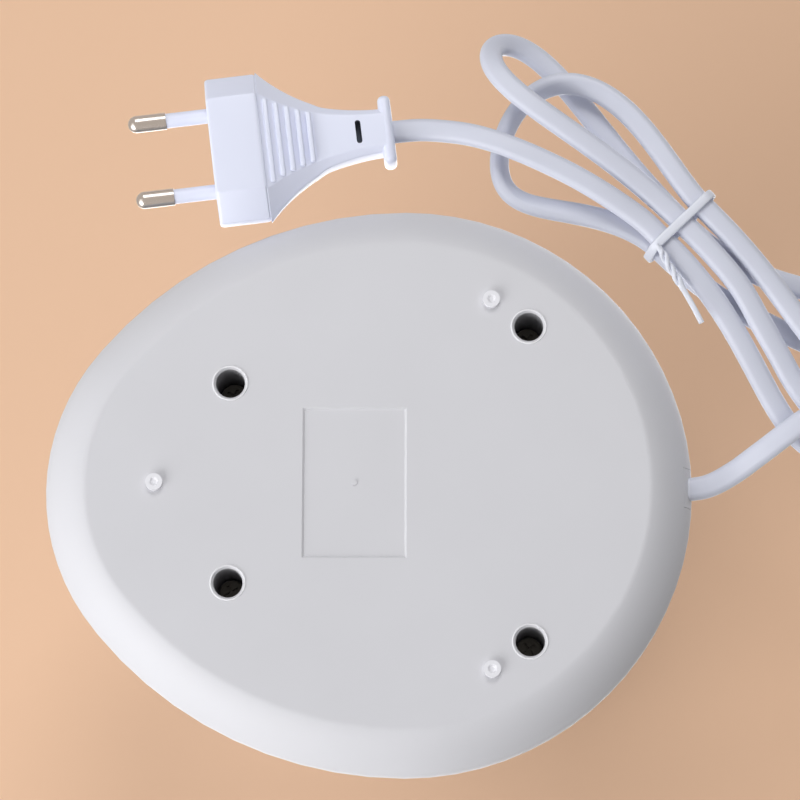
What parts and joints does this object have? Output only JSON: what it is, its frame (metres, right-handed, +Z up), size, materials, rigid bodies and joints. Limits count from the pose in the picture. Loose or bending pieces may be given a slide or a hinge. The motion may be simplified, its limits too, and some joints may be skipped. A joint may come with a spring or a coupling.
{
  "type": "baby bottle warmer",
  "caption": "Egg-shaped baby bottle warmer with a heated water well, lift-out bottle basket, thermostat dial on the nose and a flat mains lead tied in a hank with its plug.",
  "frame": {"origin": "on the floor under the middle of the base, which stands on its three feet", "axes": "+Z up, -Y towards the nose with the dial, +Y towards the rear where the lead leaves"},
  "size_m": [0.1769, 0.2096, 0.118],
  "materials": {
    "base_plastic": "fine satin",
    "housing_plastic": "gloss",
    "knob_plastic": "satin",
    "basket_plastic": "satin, milky",
    "pot_aluminium": "drawn, matt",
    "cast_aluminium": "as cast",
    "sheathed_steel": "satin",
    "zinc_steel": "zinc plated",
    "gasket_rubber": "matt",
    "ceramic_case": "matt",
    "sensor_brass": "satin",
    "board_laminate": "solder mask",
    "switch_plastic": "moulded",
    "shaft_steel": "turned",
    "led_epoxy": "clear",
    "lens_plastic": "clear",
    "lead_pvc": "soft satin",
    "wire_pvc": "soft",
    "tie_plastic": "soft",
    "plug_plastic": "fine satin",
    "pin_brass": "nickel plated"
  },
  "bodies": {
    "body": {"base_cover": "base_plastic", "outer_housing": "housing_plastic", "heating_pot": "pot_aluminium", "heater_plate": "cast_aluminium", "heating_tube": "sheathed_steel", "sensor_strap": "sheathed_steel", "clamp_bar": "sheathed_steel", "base_screws": "zinc_steel", "bar_screws": "zinc_steel", "board_screws": "zinc_steel", "clamp_screws": "zinc_steel", "strap_nut": "zinc_steel", "bar_nut": "zinc_steel", "pot_gasket": "gasket_rubber", "thermal_cutout": "ceramic_case", "temperature_sensor": "sensor_brass", "control_board": "board_laminate", "switch_body": "switch_plastic", "relay": "switch_plastic", "film_capacitor": "switch_plastic", "terminal_block": "switch_plastic", "cord_clamp": "switch_plastic", "indicator_led": "led_epoxy", "indicator_lens": "lens_plastic", "cord_gland": "lead_pvc", "cord_tail": "lead_pvc", "cord_lead": "lead_pvc", "cord_hank": "lead_pvc", "cord_plug_lead": "lead_pvc", "live_wire": "wire_pvc", "neutral_wire": "wire_pvc", "heater_wire": "wire_pvc", "link_wire": "wire_pvc", "sensor_lead": "wire_pvc", "cord_tie": "tie_plastic", "plug_body": "plug_plastic", "plug_sleeves": "plug_plastic", "plug_pins": "pin_brass"},
    "dial": {"control_knob": "knob_plastic", "switch_shaft": "shaft_steel"},
    "basket": {"bottle_basket": "basket_plastic"}
  },
  "joints": [
    {"name": "dial_turn", "type": "hinge", "parent": "body", "child": "dial", "pos_m": [0, -0.0625, 0.06], "axis": [0, 0.9446, -0.3281], "range_deg": [0, 270]},
    {"name": "basket_lift", "type": "slide", "parent": "body", "child": "basket", "axis": [0, 0, 1], "range_m": [0, 0.09]}
  ]
}
